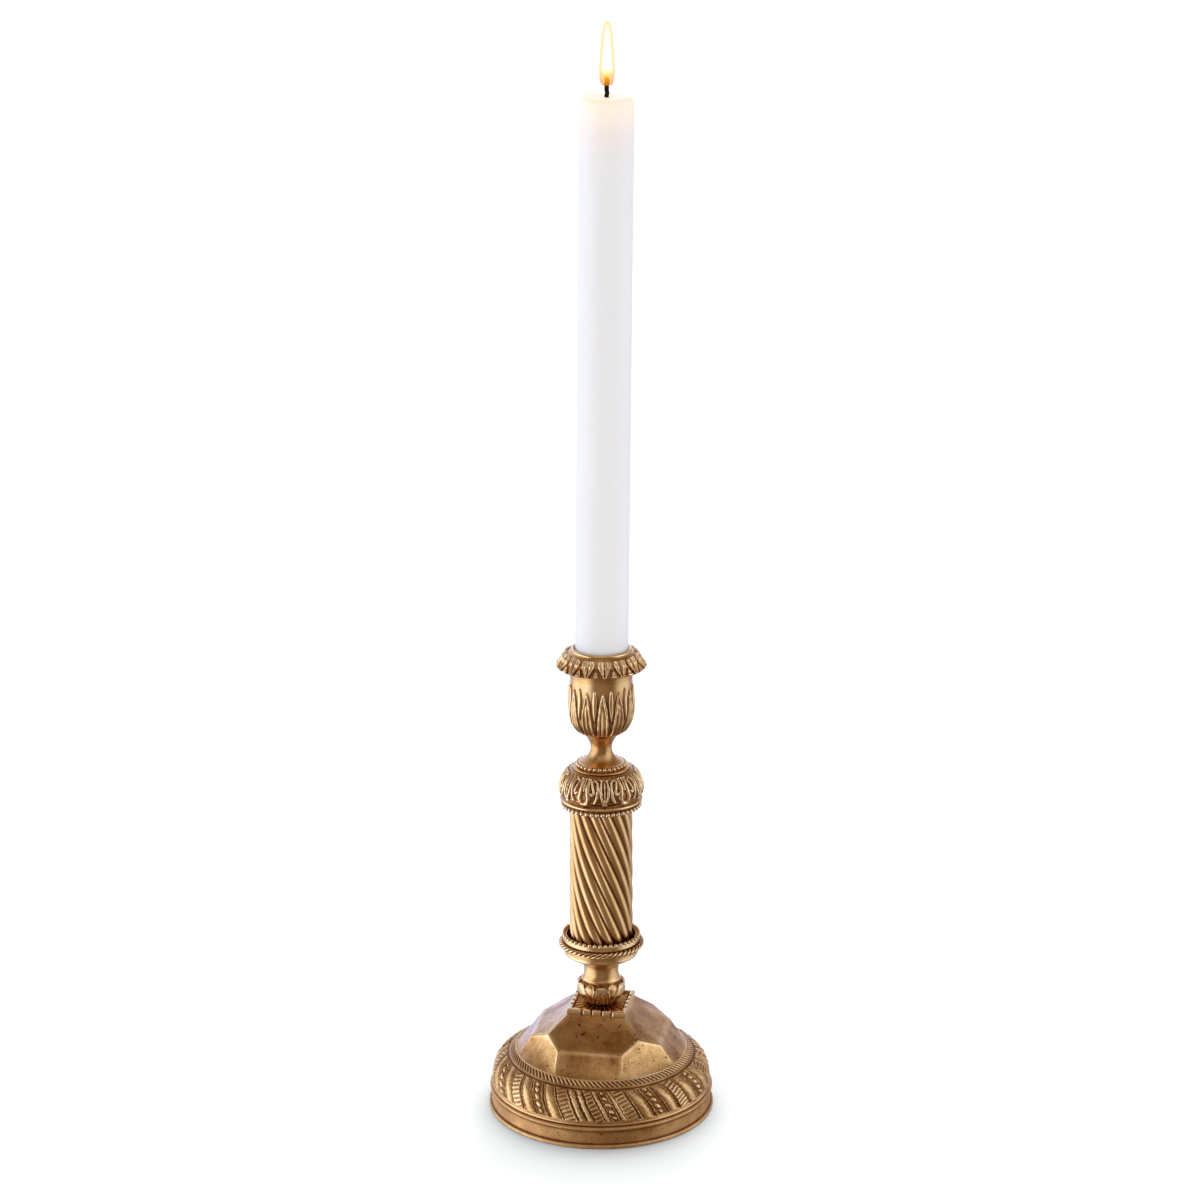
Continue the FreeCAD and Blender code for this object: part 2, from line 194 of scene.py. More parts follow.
def ring_shape(angle, radius, height, reach=0.10, tone=0.0):
    """Closed shape from grids of cylindrical coordinates; end rows on the axis close with a fan."""
    size = np.broadcast(angle, radius, height).shape
    angle, radius, height = (np.broadcast_to(part, size) for part in (angle, radius, height))
    turn = np.radians(angle)
    grid = np.stack([radius * np.cos(turn), radius * np.sin(turn), height], axis=2)
    # The tone falls where the surface sinks below its neighbourhood, as patina and painted shade, and
    # rises where it stands proud, as wear.
    deepest, proudest = -0.8, 0.6
    shade = tone + np.clip(convexity(grid, reach), deepest, proudest)
    shade = np.clip(shade, -1, 1).reshape(-1)
    points = grid.reshape(-1, 3)
    quads = grid_faces(*size)
    if radius[0, 0] > 1e-6:
        return Shape(points, quads.reshape(-1, 4).tolist(), shade)
    number, after = quads[..., 0].tolist(), quads[..., 3].tolist()
    faces = quads[1:-2].reshape(-1, 4).tolist()
    faces += [(number[0][0], b, a) for a, b in zip(after[1], number[1])]
    faces += [(number[-1][0], b, a) for a, b in zip(number[-2], after[-2])]
    return compact(points, faces, shade)


def compact(points, faces, tone):
    """Drops the points that no face uses."""
    used = sorted({corner for face in faces for corner in face})
    place = {old: new for new, old in enumerate(used)}
    return Shape(points[used], [[place[corner] for corner in face] for face in faces], tone[used])


def turned(start, *stretches, columns=256, reach=0.10):
    """Shape swept round Z from an outline that goes outwards, down, and back to start or axis.

    Each stretch is (points, rows), (points, rows, tone) or (points, rows, tone, relief), and goes
    on from the last. A relief is a function of angle, of the way along the stretch from 0 to 1,
    and of radius. Its tone is one number for its lowest part, one for its highest part, and the
    way along the stretch by which both are reached.
    """
    angle = around(columns)
    here, level = start, np.ones((1, columns))
    radii, heights, tones = [start[0] * level], [start[1] * level], [0 * level]
    for stretch in stretches:
        # A stretch's tone is patina and wear, with painted shade where the stretch lies in a recess, a
        # groove or under an overhang.
        points, rows, tone, relief = stretch + (0.0, None)[len(stretch) - 2:]
        line = along([here] + list(points), rows + 1)
        slope = np.gradient(line, axis=0)
        slope /= np.linalg.norm(slope, axis=1, keepdims=True) + 1e-9
        way = np.linspace(0, 1, rows + 1)[:, None]
        lift = np.zeros((rows + 1, columns))
        if relief:
            low, high, reached = tone
            lift = lift + relief(angle, way, line[:, :1])
            tone = low + (high - low) * (lift - lift.min()) / np.ptp(lift)
            tone = tone * ease(-0.01, reached, way)
        radii.append((line[:, :1] - lift * slope[:, 1:])[1:])
        heights.append((line[:, 1:] + lift * slope[:, :1])[1:])
        tones.append(np.broadcast_to(tone, lift.shape)[1:])
        here = points[-1]
    radius, height, tone = (np.concatenate(part) for part in (radii, heights, tones))
    return ring_shape(angle, radius, height, reach, tone)


def ball(centre, radius, stretch=1.0, columns=14, rows=9):
    """Bead; its outer side is worn, and its inner side, in a recess, is darker with patina and painted
    shade.
    """
    polar = np.linspace(0, math.pi, rows)
    shape = ring_shape(around(columns), (radius * np.sin(polar))[:, None],
                       (stretch * radius * np.cos(polar))[:, None])
    out = np.array([centre[0], centre[1], 0.0]) / (math.hypot(centre[0], centre[1]) + 1e-9)
    shape.tone = np.clip(0.15 + 0.8 * (shape.points @ out) / radius, -1, 1)
    shape.points = shape.points + np.array(centre)
    return shape


def bead_ring(count, radius, circle, height, stretch=1.0):
    """Ring of beads round Z."""
    turns = [2 * math.pi * index / count for index in range(count)]
    return joined(ball((circle * math.cos(turn), circle * math.sin(turn), height), radius, stretch)
                  for turn in turns)


def placed(name, data):
    """Object in the scene for a mesh, a lamp or a camera."""
    made = bpy.data.objects.new(name, data)
    bpy.context.scene.collection.objects.link(made)
    return made


def make_piece(name, shape, body, nodes, material, lift):
    """Mesh object for a shape, riding on a body in place of its CAD nodes."""
    mesh = bpy.data.meshes.new(name)
    points = (shape.points + np.array([0.0, 0.0, lift])) * MM
    mesh.from_pydata(points.tolist(), [], shape.faces)
    # The relief attribute carries the tone: wear, patina and painted shade.
    wear_and_shade = mesh.attributes.new("relief", "FLOAT", "POINT")
    wear_and_shade.data.foreach_set("value", shape.tone.astype(np.float32))
    mesh.shade_smooth()
    mesh.set_sharp_from_angle(angle=math.radians(SHARP_EDGE))
    mesh.materials.append(material)
    piece = placed(name, mesh)
    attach(piece, body)
    if nodes:
        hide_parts(*nodes)
    return piece


def bottom_of(node):
    """Height of the bottom of a CAD node, in millimetres."""
    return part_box(node)[0].z / MM


# ---- nozzle: socket tube and drip pan ----

def nozzle_tube(height):
    """Socket tube with a closed floor and a rolled lip."""
    return turned(
        (0, 1.0),
        ([(11.35, 1.0)], 4),
        ([(11.35, height - 0.5)], 8),
        ([(11.6, height - 0.1), (12.15, height), (12.75, height - 0.3), (12.95, height - 0.8)], 12),
        ([(12.8, height - 1.25), (12.05, height - 1.4)], 4),
        ([(12.05, 0.0)], 8),
        ([(0, 0)], 4),
        columns=192, reach=0.2)


def pan_leaves(angle, way, radius):
    """Leaves that hang from the lip to a point at the rim, with darts between their tips."""
    aside = np.abs(from_nearest(angle, PAN_LEAVES, PAN_PHASE))
    width = np.interp(way, [0.0, 0.04, 0.12, 0.25, 0.45, 0.70, 1],
                      [0.05, 0.45, 0.74, 0.86, 0.80, 0.52, 0.24]) + 0.03 * uneven(angle, way)
    part = aside / width
    margin = ridge(part - 0.84, 0.15)
    swell = ridge(part - 0.45, 0.24) - 0.8 * ridge(part, 0.10)
    leaf = ease(0, 0.05, width - aside) * (0.45 + 0.42 * margin + 0.34 * swell)
    dart_width = 0.32 * ease(0.42, 1.0, way)
    dart = ease(0, 0.08, dart_width - (1 - aside)) * ease(0.42, 0.56, way)
    hollow = ease(0.35, 0.62, way) * (1 - 0.5 * ease(0.84, 0.96, way))
    relief = ease(0.0, 0.10, way) * np.maximum(1.15 * leaf, dart)
    return relief - 0.55 * hollow - 0.35 * ease(0.05, 0.35, way)


def drip_pan():
    """Cast pan of leaves that slopes down from the nozzle's lip to a scalloped rim."""
    return turned(
        (12.05, 2.9),
        ([(12.05, 6.85)], 3),
        ([(12.9, 6.85)], 2),
        ([(13.45, 6.5), (14.0, 6.1)], 6, -0.3),
        ([(14.6, 5.75), (16.1, 4.4), (17.4, 2.9), (18.2, 1.6), (18.75, 0.5)], 46,
         (-0.80, 0.62, 0.25), pan_leaves),
        ([(18.5, 0.05), (17.9, -0.05)], 4),
        ([(16.9, 0.5), (15.4, 1.7), (14.0, 2.9)], 7, -0.5),
        columns=1024, reach=0.22)


# ---- candle cup and its stem ----

def urn_leaves(angle, way, radius):
    """Pointed leaves that widen downwards, with slim lance leaves between their tips."""
    aside = np.abs(from_nearest(angle, URN_LEAVES, URN_PHASE))
    width = np.interp(way, [0.05, 0.10, 0.2, 0.33, 0.55, 1.0], [0.0, 0.14, 0.32, 0.47, 0.66, 0.80])
    width = width + 0.03 * uneven(angle, way)
    margin = ridge(aside - (width - 0.16), 0.16)
    rib = ridge(aside, 0.17) * ease(0.24, 0.38, way)
    leaf = ease(0, 0.05, width - aside) * (0.20 + 0.75 * margin + 0.62 * rib)
    lance_width = np.interp(way, [0.0, 0.06, 0.22, 0.42, 0.62], [0.01, 0.20, 0.33, 0.25, 0.01])
    lance = np.sqrt(1 - np.clip((1 - aside) / lance_width, 0, 1) ** 2) * ease(0, 0.06, lance_width)
    ends = ease(0.0, 0.03, way) * (1 - ease(0.95, 1.0, way))
    return ends * (0.78 * np.maximum(leaf, lance) - 0.45 * ease(0.0, 0.35, way))


def candle_cup():
    """Urn with a plain neck over a calyx of leaves."""
    return turned(
        (0, 14.7),
        ([(12.3, 14.7)], 4),
        ([(12.3, 32.9)], 8),
        ([(13.3, 32.9)], 2),
        # Painted shadow of the drip pan: the neck is darkest just under the pan and lighter further
        # down.
        ([(13.5, 32.7), (13.55, 31.0)], 4, -0.6),
        ([(13.55, 30.0)], 3, -0.4),
        ([(13.5, 29.0), (13.35, 27.5)], 5, -0.40),
        ([(13.2, 26.0)], 3, -0.20),
        ([(13.13, 24.6), (13.12, 23.2)], 6),
        ([(13.2, 21.0), (13.55, 17.7), (13.9, 13.2), (13.7, 10.7), (13.1, 7.2), (12.2, 4.9),
          (10.9, 2.9), (9.6, 1.6)], 88, (-0.75, 0.60, 0.25), urn_leaves),
        ([(8.4, 0.8), (7.0, 0.0)], 5, -0.6),
        ([(2.5, 0.0)], 3),
        ([(2.5, 7.7)], 3),
        ([(0, 7.7)], 1),
        columns=744, reach=0.25)


def cup_stem():
    """Waisted stem that spreads to a beaded foot."""
    stem = turned(
        (ROD_BORE, 13.9),
        ([(6.9, 13.9)], 2),
        ([(6.5, 13.1), (6.0, 12.3), (5.0, 10.4), (4.44, 8.4), (4.66, 6.4), (5.7, 4.4), (7.2, 2.9),
          (8.8, 2.0), (9.7, 1.75)], 40),
        ([(9.6, 1.5)], 2, -0.8),
        ([(9.3, 0.8), (9.8, 0.3), (9.9, 0.0)], 6, -0.9),
        ([(ROD_BORE, 0)], 2),
        ([(ROD_BORE, 13.9)], 4))
    return stem.add(bead_ring(FOOT_BEADS, 0.95, 9.85, 0.95, 0.95))


# ---- capital and its pearls ----

def stroke(angle, way, radius, length, points, width, taper=1.0):
    """Rounded ridge along a line of (angle, way) points, as its height from 0 to 1."""
    scale = math.radians(1.0) * float(radius.mean())
    x, y = angle * scale, way * length
    bend = 0.12 * uneven(3 * angle, 2 * way)
    height = np.zeros_like(angle + way)
    count = len(points) - 1
    for index, (a, b) in enumerate(zip(points, points[1:])):
        start = (a[0] * scale, a[1] * length)
        leap = (b[0] * scale - start[0], b[1] * length - start[1])
        part = ((x - start[0]) * leap[0] + (y - start[1]) * leap[1]) / (leap[0] ** 2 + leap[1] ** 2)
        part = np.clip(part, 0, 1)
        off = np.hypot(x - start[0] - part * leap[0] + bend, y - start[1] - part * leap[1])
        here = width * (taper + (1 - taper) * (index + part) / count)
        height = np.maximum(height, np.clip(1 - (off / here) ** 2, 0, 1) ** 0.7)
    return height


def palmettes(angle, way, radius):
    """Palmettes: a ribbed leaf, a hook and a curl each side of it, and broad lobes between."""
    length = 14.6
    aside = np.abs(from_nearest(angle, PALMETTES, PALMETTE_PHASE)) * (180.0 / PALMETTES)
    lines = [
        ([(0, 0.08), (0, 0.90)], 0.52, 0.6),
        ([(4.4, 0.05), (6.0, 0.38), (4.9, 0.68), (1.2, 1.0)], 0.78, 0.9),
        ([(14.2, 0.93), (11.2, 0.72), (9.6, 0.42), (10.6, 0.16), (14.6, 0.06), (19.6, 0.12),
          (17.2, 0.36), (15.3, 0.54), (17.2, 0.64), (19.8, 0.57)], 0.80, 0.95),
        ([(24.4, 0.04), (25.6, 0.40), (23.4, 0.78), (25.6, 0.96), (30, 1.0)], 0.95, 1.15),
        ([(30, 0.02), (30, 0.50)], 0.60, 0.6)]
    relief = np.zeros_like(aside + way)
    for points, width, taper in lines:
        relief = np.maximum(relief, stroke(aside, way, radius, length, points, width, taper))
    return 0.95 * relief - 0.35 * ease(0.0, 0.06, way) * (1 - ease(0.94, 1.0, way))


def capital():
    """Cushion capital on a cove and a thin flange, with a stepped top."""
    return turned(
        (ROD_BORE, 16.4),
        ([(11.7, 16.4)], 3, -0.5),
        ([(12.0, 16.3), (12.15, 15.95)], 4, -0.5),
        ([(11.95, 15.65), (12.2, 15.45)], 3, -0.9),
        ([(12.5, 15.35), (12.9, 15.05), (13.7, 14.5)], 6, -0.4),
        ([(14.5, 13.85), (15.5, 12.8), (16.4, 11.4), (17.0, 9.8), (17.4, 8.2),
          (17.5, 7.0), (17.3, 5.6), (16.8, 4.7)], 66, (-0.75, 0.58, 0.02), palmettes),
        ([(16.4, 4.2), (16.2, 3.7), (16.4, 3.2)], 8, -0.45),
        ([(16.9, 2.8), (17.25, 2.55)], 4, -0.3),
        ([(17.42, 2.25), (17.4, 1.85), (17.2, 1.6)], 5, -0.15),
        ([(16.7, 1.2), (16.4, 0.0)], 3, -1.0),
        ([(10.0, 0.0)], 3, -0.6),
        ([(10.0, 12.5)], 3),
        ([(ROD_BORE, 12.5)], 2),
        ([(ROD_BORE, 16.4)], 2),
        columns=876, reach=0.25)


def pearl_ring():
    """String of pearls under the capital's flange, on its band."""
    band = turned(
        (14.25, 1.6),
        ([(16.0, 1.6)], 2, -1.0),
        ([(16.1, 1.5), (16.1, 0.6), (15.9, 0.45)], 5, -1.0),
        ([(14.25, 0.45)], 2, -0.8),
        ([(14.25, 1.6)], 2),
        columns=184)
    return band.add(bead_ring(PEARLS, 0.96, 16.4, 1.35))


# ---- column, its collar and the rope ----

def column():
    """Tube of twisted convex reeds, slightly slimmer towards the top."""
    columns, rows, inner_rows = 34 * REEDS, 150, 8
    length, taper_start, taper = 64.8, 24.8, 0.25
    outer, bore, groove = 13.45, 10.5, 1.25
    angle = around(columns)
    height = np.linspace(length, 0, rows)[:, None]
    slimming = taper * np.clip((height - taper_start) / (length - taper_start), 0, 1)
    aside = np.abs(from_nearest(angle, REEDS, REED_PHASE + REED_TWIST * height))
    radius = outer - slimming - groove * aside ** 2.1
    # Darker in the grooves between reeds and towards the foot, where it stands in the collar: patina
    # and painted shade.
    tone = 0.05 - 0.85 * ease(0.62, 1.0, aside) - 0.9 * (1 - ease(0.0, 4.5, height))
    inner = np.linspace(0, length, inner_rows)[:, None]
    radius = np.concatenate([radius, np.full((inner_rows, columns), bore)])
    tone = np.concatenate([tone, np.zeros((inner_rows, columns))])
    height = np.concatenate([height, inner])
    return ring_shape(angle, radius, height, reach=0.5, tone=tone)


def column_cup():
    """Shallow cup with a beaded rim, a plain band and a seat for the rope."""
    cup = turned(
        (ROD_BORE, 7.0),
        # Inside the cup, round the beads and in the rope's seat the tone is low: painted shade, with
        # patina.
        ([(14.7, 7.0)], 4, -0.9),
        ([(14.8, 7.1), (14.8, 12.0)], 6, -0.9),
        ([(15.0, 12.0), (16.1, 12.0)], 4, -1.0),
        ([(16.45, 11.8)], 2, -0.2),
        ([(16.5, 11.5), (16.5, 10.0)], 7, -0.15),
        ([(16.4, 9.75), (15.85, 9.5)], 3, -0.3),
        ([(15.85, 7.0)], 4, -1.0),
        ([(15.7, 6.4), (15.6, 5.4), (15.75, 4.3), (15.6, 3.6), (15.0, 3.1)], 14),
        ([(13.0, 1.9), (11.0, 1.0), (8.2, 0.0)], 10, -0.2),
        ([(ROD_BORE, 0.0)], 3),
        ([(ROD_BORE, 7.0)], 3),
        columns=352)
    return cup.add(bead_ring(RIM_BEADS, 0.80, 16.0, 12.1, 1.15))


def rope_strand(start):
    """Wire that winds round the circle of the rope, from an angle about it in radians."""
    circle, swing, strand_r, sides, steps = 17.0, 0.66, 0.56, 10, 24 * ROPE_TURNS
    turn = np.arange(steps) * 2 * math.pi / steps
    twist = turn * ROPE_TURNS + start
    out = np.stack([np.cos(turn), np.sin(turn), np.zeros(steps)], axis=1)
    up = np.array([0.0, 0.0, 1.0])
    core = circle * out
    lean = np.cos(twist)[:, None] * out + np.sin(twist)[:, None] * up
    centre = core + swing * lean
    ahead = np.roll(centre, -1, 0) - np.roll(centre, 1, 0)
    ahead /= np.linalg.norm(ahead, axis=1, keepdims=True)
    across = np.cross(ahead, lean)
    ring = np.arange(sides) * 2 * math.pi / sides
    grid = (centre[:, None] + strand_r * (np.cos(ring)[None, :, None] * lean[:, None]
                                          + np.sin(ring)[None, :, None] * across[:, None]))
    proud = np.linalg.norm(grid - core[:, None], axis=2).reshape(-1) / (swing + strand_r)
    # Worn bright where the wire stands out; dark between the strands, as painted shade with patina.
    tone = np.clip(-1.3 + 5.6 * (proud - 0.66), -1, 0.55)
    return Shape(grid.reshape(-1, 3), grid_faces(steps, sides).reshape(-1, 4).tolist(), tone)


def rope_ring():
    """Ring of twisted wire strands."""
    return joined(rope_strand(2 * math.pi * strand / ROPE_STRANDS) for strand in range(ROPE_STRANDS))


# ---- lower stem, knop and plinth ----

def lower_stem():
    """Plain spool."""
    return turned(
        (ROD_BORE, 8.1),
        ([(8.4, 8.1)], 2),
        ([(8.2, 7.5), (7.75, 6.2), (7.45, 4.6), (7.36, 3.4), (7.5, 2.0), (7.85, 0.9), (8.2, 0.25)],
         26),
        ([(8.2, 0.0)], 1, -0.5),
        ([(ROD_BORE, 0.0)], 2),
        ([(ROD_BORE, 8.1)], 3))


def knop_petals(angle, way, radius):
    """Broad petals with raised rims, and the tops of a second row showing between them."""
    front = np.abs(from_nearest(angle, PETALS, PETAL_PHASE))
    back = 1 - front
    width = np.interp(way, [0.07, 0.10, 0.15, 0.22, 0.32, 0.48, 0.70, 1.0],
                      [0.01, 0.26, 0.46, 0.62, 0.73, 0.84, 0.93, 0.97])
    part = np.clip(front / width, 0, 1)
    groove = ridge(front, 0.07) * ease(0.20, 0.40, way)
    near = ease(0, 0.07, width - front) * ease(0.07, 0.11, way)
    near = near * (0.62 + 0.22 * (1 - part ** 2) + 0.30 * ridge(part - 0.88, 0.10) - 0.25 * groove)
    back_width = np.interp(way, [0.0, 0.05, 0.12, 0.22, 0.5, 1.0],
                           [0.01, 0.26, 0.42, 0.46, 0.40, 0.3])
    part = np.clip(back / back_width, 0, 1)
    far = (ease(0, 0.06, back_width - back)
           * (0.34 + 0.24 * np.sqrt(1 - part ** 2) + 0.16 * ridge(part - 0.84, 0.12)))
    ends = ease(0, 0.03, way) * (1 - ease(0.92, 1.0, way))
    return ends * (np.maximum(near, far) - 0.55)


def leaf_knop():
    """Knop wrapped in two rows of petals."""
    return turned(
        (ROD_BORE, 11.4),
        ([(8.25, 11.4)], 2),
        ([(8.6, 11.1)], 1, -0.4),
        ([(9.3, 10.3), (9.95, 9.3), (10.15, 8.5), (10.0, 7.0), (9.6, 5.4), (8.6, 3.3), (7.2, 1.5),
          (5.2, 0.0)], 72, (-0.9, 0.36, 0.02), knop_petals),
        ([(ROD_BORE, 0.0)], 2),
        ([(ROD_BORE, 11.4)], 3),
        columns=720, reach=0.3)


def square_plinth():
    """Square plate with a notched border and grooves that fan out from under the knop."""
    columns, half, top, border = 1040, 12.5, 1.8, 1.9
    angle = around(columns)
    from_side = np.radians(from_nearest(angle, 4, 0.0) * 45.0)
    edge = half / np.cos(from_side)
    part = np.linspace(0, 1, 50)[:, None]
    radius = ROD_BORE + (edge - ROD_BORE) * part
    inset = half - radius * np.cos(from_side)
    side_way = radius * np.sin(from_side) / half
    notch = sum(ridge(side_way - place, 0.035) for place in (-0.50, -0.17, 0.18, 0.52))
    notch = np.clip(notch, 0, 1)
    fan = np.cos(np.radians(angle) * 26)
    on_border = 1 - ease(border - 0.4, border, inset)
    leaves = (0.50 * fan + 0.1) * ease(5.0, 7.0, radius) * ease(border - 0.1, border + 0.8, inset)
    rise = on_border * (0.75 - 0.85 * notch) - 0.45 * (1 - on_border) + leaves
    height = top + rise - 0.35 * (1 - ease(0.0, 0.45, inset))
    # Dark in the notches and between the fanned leaves: patina and painted shade.
    tone = 0.12 * on_border - 1.3 * on_border * notch - (1 - on_border) * (0.55 - 0.55 * fan)
    wall = [(1.7, 0.12), (1.1, 0.14), (0.5, 0.12), (0.0, 0.0)]
    tuck = 0.55 * notch[-1:]
    wall_radius = [edge + (out - tuck) / np.cos(from_side) for _, out in wall]
    level = np.ones((1, columns))
    radius = np.concatenate([radius] + wall_radius + [ROD_BORE * level] * 2)
    height = np.concatenate([height] + [low * level for low, _ in wall] + [0 * level, level])
    tone = np.concatenate([tone] + [0.2 - 1.2 * notch[-1:]] * len(wall) + [0 * level] * 2)
    return ring_shape(angle, radius, height, reach=0.4, tone=tone)


# ---- base ----

def smoothed(curve, width):
    """Curve between the same ends with its corners rounded over a number of its points."""
    if width < 0.5:
        return curve
    reach = min(int(3 * width), len(curve) - 2)
    before = 2 * curve[0] - curve[reach:0:-1]
    after = 2 * curve[-1] - curve[-2:-reach - 2:-1]
    longer = np.concatenate([before, curve, after])
    weight = np.exp(-0.5 * (np.arange(-reach, reach + 1) / width) ** 2)
    weight /= weight.sum()
    return np.stack([np.convolve(longer[:, axis], weight, "valid") for axis in range(3)], axis=1)


def quarter_turned(points, quarters=1):
    """Points turned round Z by a number of right angles."""
    for _ in range(quarters):
        points = np.stack([-points[..., 1], points[..., 0], points[..., 2]], axis=-1)
    return points


def dome_quarter(upper_rows, lower_rows):
    """Grid of points for an upper face with the lower face and the corner face below it."""
    top_half, top_z = 12.6, 44.9
    knee = np.array([28.04, 13.68, 34.6])
    crest = np.array([19.66, 19.66, 38.3])
    across_y = np.array([1, -1, 1])
    foot_r, foot_z, foot_turn = 36.7, 25.9, 22.5
    wide, narrow = 104, 38
    top_rounding, foot_rounding = 18, 15
    top_dip, foot_dip = 0.5, np.array([0.018, 0.018, 0.014])
    side = np.concatenate([
        np.linspace(crest * across_y, knee * across_y, narrow, endpoint=False),
        np.linspace(knee * across_y, knee, wide, endpoint=False),
        np.linspace(knee, crest, narrow + 1)])
    upper = []
    for part in np.linspace(0, 1, upper_rows + 1):
        rim = smoothed(side, top_rounding * (1 - part))
        slant = rim[:, 1] / rim[:, 0]
        top = np.stack([np.full(len(rim), top_half), top_half * slant, np.full(len(rim), top_z)], 1)
        row = top + (rim - top) * part
        row[:, 2] -= top_dip * 4 * part * (1 - part) * (1 - slant ** 4)
        upper.append(row[:-1])
    upper = np.array(upper)
    upper = np.concatenate([upper[:, narrow:], quarter_turned(upper[:, :narrow])], axis=1)
    front_edge = side[narrow:narrow + wide + 1]
    corner_edge = np.concatenate([side[narrow + wide:], quarter_turned(side[1:narrow + 1])])
    lower = []
    for part in np.linspace(0, 1, lower_rows + 1)[1:]:
        facets = []
        for edge, start, end in ((front_edge, -foot_turn, foot_turn),
                                 (corner_edge, foot_turn, 90 - foot_turn)):
            rim = smoothed(edge, foot_rounding * part)
            turn = np.radians(np.linspace(start, end, len(rim)))
            foot = np.stack([foot_r * np.cos(turn), foot_r * np.sin(turn), 0 * turn + foot_z], 1)
            row = rim + (foot - rim) * part
            hollow = 4 * part * (1 - part) * (1 - np.linspace(-1, 1, len(rim)) ** 2)[:, None]
            row -= hollow * row * foot_dip
            facets.append(row[:-1])
        lower.append(np.concatenate(facets))
    return np.concatenate([upper, np.array(lower)])


def faceted_dome():
    """Dome cut into four upper faces, four lower ones and four corner ones, slightly hollowed."""
    upper_rows, lower_rows, passes, pace = 34, 36, 6, 0.6
    quarter = dome_quarter(upper_rows, lower_rows)
    grid = np.concatenate([quarter_turned(quarter, index) for index in range(4)], axis=1)
    turn = np.arctan2(grid[upper_rows, :, 1], grid[upper_rows, :, 0])
    inside = [(35.2, 24.6), (33.2, 24.2), (26.6, 32.4), (13.0, 41.9), (ROD_BORE, 41.9),
              (ROD_BORE, 44.6)]
    rings = [np.stack([r * np.cos(turn), r * np.sin(turn), 0 * turn + z], 1) for r, z in inside]
    grid = np.concatenate([grid, np.array(rings)])
    last = upper_rows + lower_rows
    for _ in range(passes):
        mean = 0.25 * (np.roll(grid, 1, 0) + np.roll(grid, -1, 0)
                       + np.roll(grid, 1, 1) + np.roll(grid, -1, 1))
        grid[1:last] += pace * (mean - grid)[1:last]
    return ring_shape(np.degrees(np.arctan2(grid[..., 1], grid[..., 0])),
                      np.hypot(grid[..., 0], grid[..., 1]), grid[..., 2], reach=0.06)


def cord_bars(angle, way, radius):
    """Slanting bars in a channel."""
    bar = np.cos(np.radians((angle - 4.0 * way) * CORD_BARS))
    return (0.26 * bar - 0.06) * ease(0.0, 0.14, way) * (1 - ease(0.86, 1.0, way))


def border_bands():
    """Bands of the border as (kind, middle, half width), in degrees round Z."""
    step = 360.0 / BORDER_REPEATS
    bands = []
    for index in range(BORDER_REPEATS - 1):
        start = BORDER_PHASE + step * index
        bands += [("ladder", start, 3.5), ("plain", start + 0.25 * step, 4.2),
                  ("beads", start + 0.50 * step, 3.6), ("plain", start + 0.75 * step, 4.2)]
    closing = BORDER_PHASE - step
    for kind, offset, half in (("ladder", 0.0, 3.6), ("plain", 5.9, 2.1), ("plain", 10.4, 1.6),
                               ("ladder", 15.2, 2.6), ("plain", 19.4, 1.5), ("beads", 23.7, 2.6),
                               ("plain", 28.0, 1.5)):
        bands.append((kind, closing + offset, half))
    return bands


def border_relief(angle, way, radius):
    """Slanting bands: rows of beads in channels, ladders of cross bars, and plain ones."""
    length, mean_radius, rungs = 15.5, 45.0, 9.0
    lean = math.radians(BORDER_SLANT) * mean_radius
    middle = angle - BORDER_SLANT * (way - 0.5)
    shift = 0.25 * uneven(angle, way)
    relief = np.zeros_like(angle + way)
    ends = ease(0.0, 0.05, way) * (1 - ease(0.90, 0.97, way))
    for kind, centre, half in border_bands():
        off = (middle - centre + 180.0) % 360.0 - 180.0 + shift
        part = np.abs(off) / half
        inside = ease(0.0, 0.10, 1 - part)
        rail = ridge(part - 0.86, 0.12) * inside
        if kind == "plain":
            height = np.maximum(0.78 * rail, 0.22 + 0.72 * (1 - (part / 0.8) ** 2)) * inside
        elif kind == "ladder":
            rung = way + np.radians(off) * radius * lean / (lean ** 2 + length ** 2)
            bars = ease(-0.6, 0.6, np.cos(2 * math.pi * rung * rungs))
            height = np.maximum(0.95 * rail, (0.54 + 0.32 * bars) * inside)
        else:
            height = np.maximum(0.92 * rail, 0.40 * inside)
            for place, size in ((0.09, 0.95), (0.26, 1.25), (0.45, 1.45), (0.65, 1.50), (0.83, 1.15)):
                size = size * min(1.0, half / 3.4)
                far = np.hypot(np.radians(off) * radius, (way - place) * length) / size
                height = np.maximum(height, 1.20 * np.sqrt(np.clip(1 - far ** 2, 0, 1)))
        relief = np.maximum(relief, height)
    return (0.95 * relief - 0.62 + 0.07 * uneven(2 * angle, 3 * way)) * ends


def base_border():
    """Cord moulding over a swelling border, on the spigot that the foot band sits on."""
    return turned(
        (34.9, 24.2),
        ([(36.2, 26.2)], 2),
        ([(36.75, 26.45), (37.1, 26.1)], 3),
        ([(39.3, 24.25)], 10, (-0.8, 0.4, 0.02), cord_bars),
        ([(39.6, 24.05), (39.85, 23.7)], 3, -0.2),
        ([(40.1, 23.4), (40.5, 23.3)], 2, -0.6),
        ([(41.6, 22.8), (43.6, 21.3), (45.0, 19.6), (46.0, 17.5), (46.5, 15.0), (46.8, 12.5),
          (47.0, 11.0)], 58, (-0.75, 0.50, 0.02), border_relief),
        ([(47.25, 10.6), (47.1, 10.1), (46.6, 9.85)], 5),
        ([(46.4, 9.6)], 1, -1.0),
        ([(45.4, 9.6)], 1),
        ([(45.4, 2.5)], 2),
        ([(43.8, 2.5)], 1),
        ([(43.8, 11.0)], 2),
        ([(43.0, 16.5), (39.0, 20.6), (34.9, 24.2)], 6),
        columns=960, reach=0.3)


